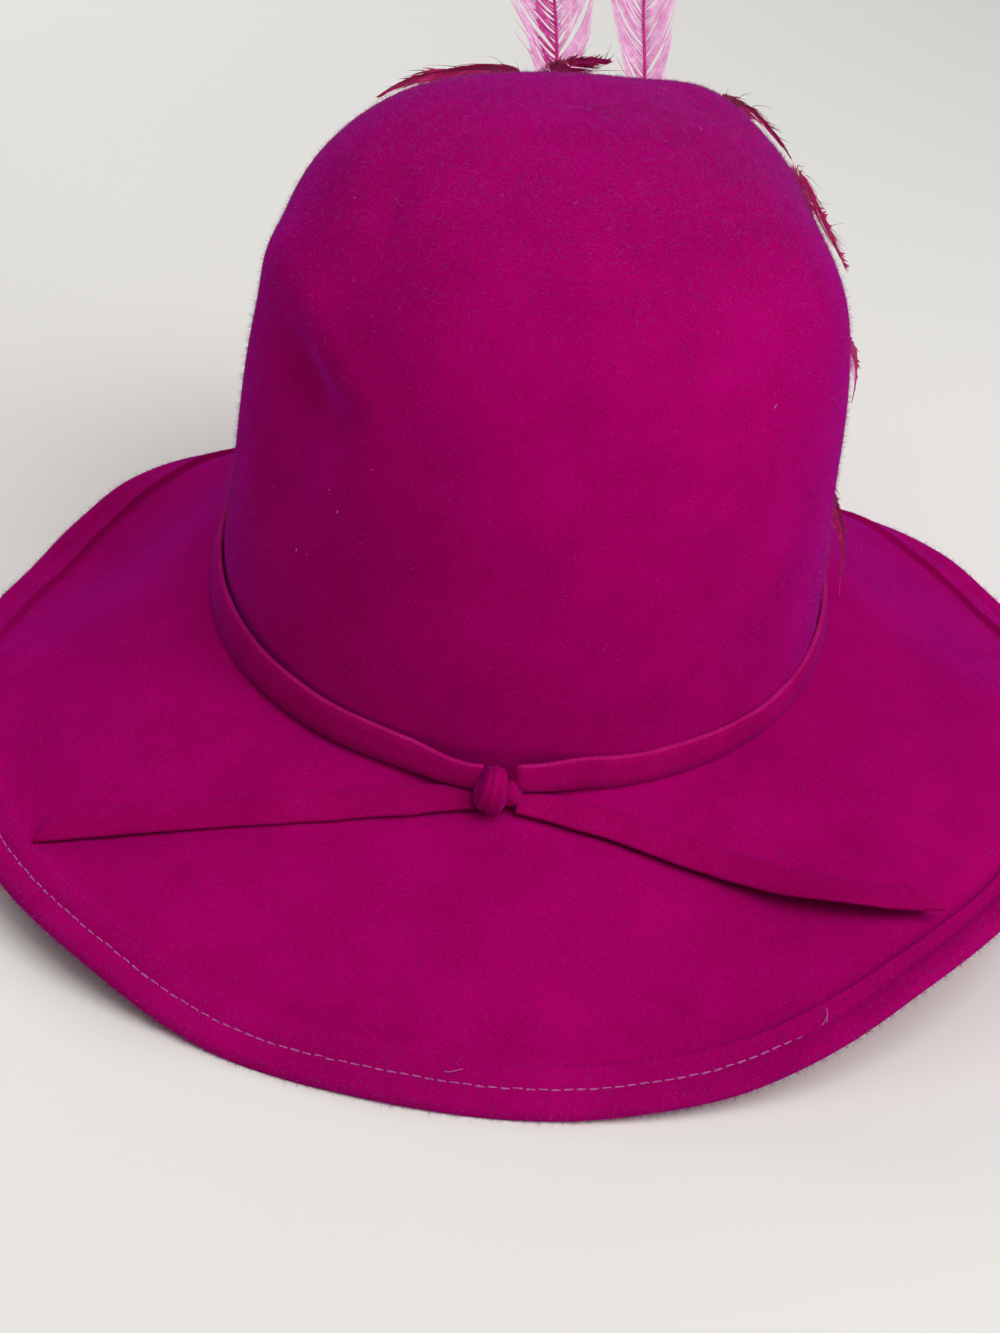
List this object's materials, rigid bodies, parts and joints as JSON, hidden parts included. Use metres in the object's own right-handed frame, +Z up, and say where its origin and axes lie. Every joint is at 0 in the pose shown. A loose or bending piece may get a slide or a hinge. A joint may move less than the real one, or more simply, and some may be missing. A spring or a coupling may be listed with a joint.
{
  "type": "wide-brimmed wool felt hat",
  "caption": "Wool felt hat with a domed crown, a wide drooping brim with a stitched folded hem, a narrow felt band knotted in front, and a feather trim behind.",
  "frame": {"origin": "middle of the hat's outline on the surface it rests on", "axes": "+Z up out of the crown, -Y towards the front where the band is knotted, +X towards the hat's right-hand side in the front view"},
  "size_m": [0.3246, 0.3474, 0.2242],
  "materials": {
    "hood_felt": "brushed wool felt, matte with a soft nap",
    "band_felt": "matte wool felt strip, cut edges",
    "tail_felt": "matte wool felt strip, cut edges",
    "pad_felt": "matte wool felt",
    "plume_pink": "soft dyed feather",
    "plume_pale": "soft dyed feather",
    "hackle_dark": "satin dyed feather",
    "hackle_red": "satin dyed feather"
  },
  "bodies": {
    "root": {"felt_hood": "hood_felt", "band": "band_felt", "knot": "band_felt", "tail_left": "tail_felt", "tail_right": "tail_felt", "feather_pad": "pad_felt", "plume_left": "plume_pink", "plume_right": "plume_pale", "hackle_left": "hackle_dark", "hackle_right": "hackle_dark", "hackle_shoulder": "hackle_red", "hackle_side": "hackle_red", "hackle_low": "hackle_red", "hackle_brim": "hackle_red"}
  },
  "joints": []
}
